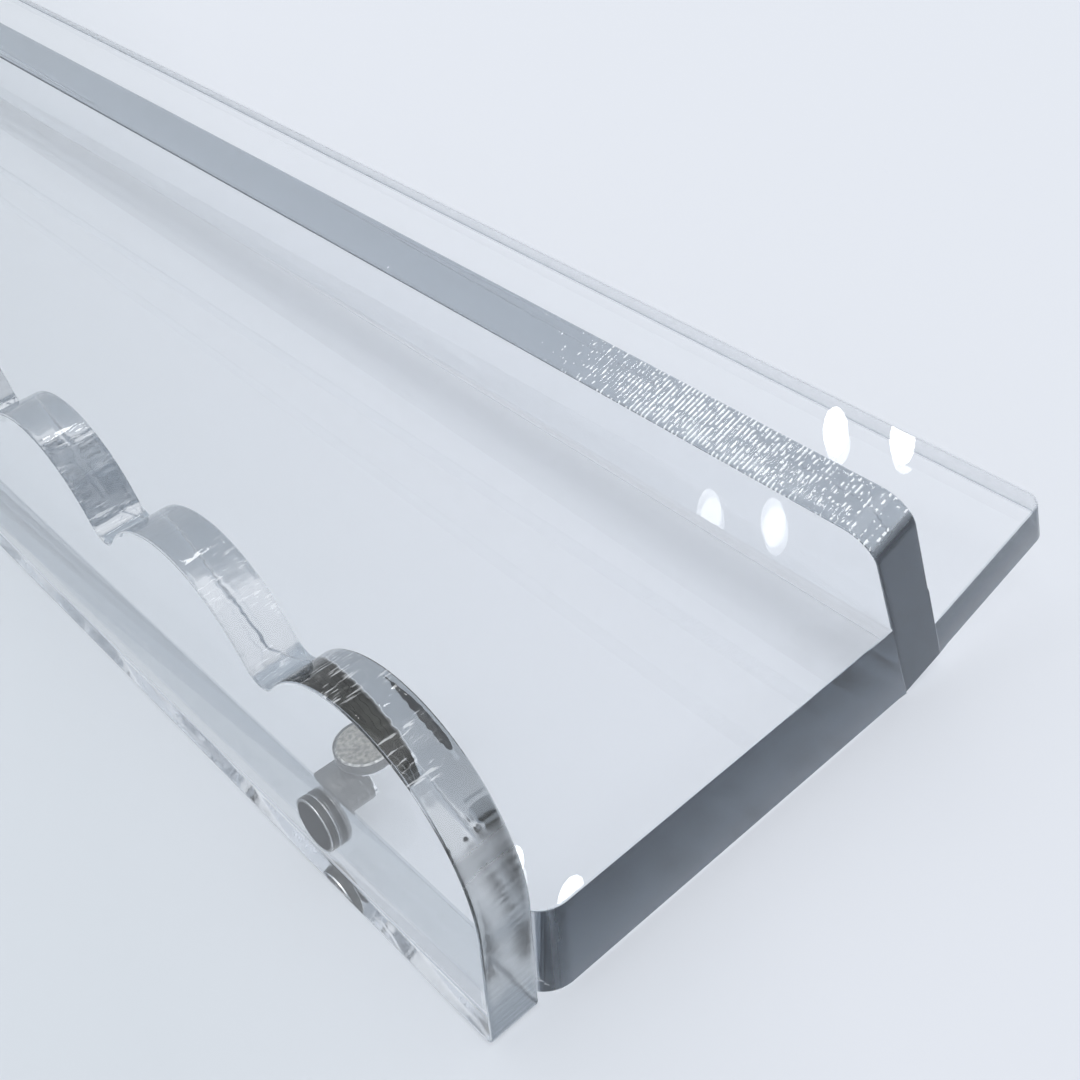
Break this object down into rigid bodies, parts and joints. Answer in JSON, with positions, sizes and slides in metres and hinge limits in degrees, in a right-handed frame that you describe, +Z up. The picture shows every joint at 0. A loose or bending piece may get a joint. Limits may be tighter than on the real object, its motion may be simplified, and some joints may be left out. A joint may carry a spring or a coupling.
{
  "type": "plate display stand",
  "caption": "Long clear acrylic rack for plates on edge: thick base plate, leaning rear fin with a ledge, and a scalloped front wall held on by magnets.",
  "frame": {"origin": "centre of the base plate's underside, midway between its front edge and the fin's foot", "axes": "+X along the stand's length, +Y from the scalloped front wall to the rear ledge, +Z up"},
  "size_m": [0.293, 0.0672, 0.0249],
  "materials": {
    "base_acrylic": "clear cast acrylic, polished edges",
    "wall_acrylic": "clear cast acrylic, laser-cut scalloped edge",
    "fin_acrylic": "clear cast acrylic, sawn edge with fine cross marks",
    "magnet_nickel": "matte nickel plate"
  },
  "bodies": {
    "stand": {"base_plate": "base_acrylic", "rear_fin": "fin_acrylic", "rear_ledge": "fin_acrylic", "base_magnet_right": "magnet_nickel", "base_magnet_left": "magnet_nickel", "top_magnet_right": "magnet_nickel", "top_magnet_left": "magnet_nickel"},
    "front_wall": {"front_wall": "wall_acrylic", "wall_magnet_right": "magnet_nickel", "wall_magnet_left": "magnet_nickel"}
  },
  "joints": [
    {"name": "front_wall_release", "type": "slide", "parent": "stand", "child": "front_wall", "axis": [0, -0.9976, 0.0698], "range_m": [0, 0.02]}
  ]
}
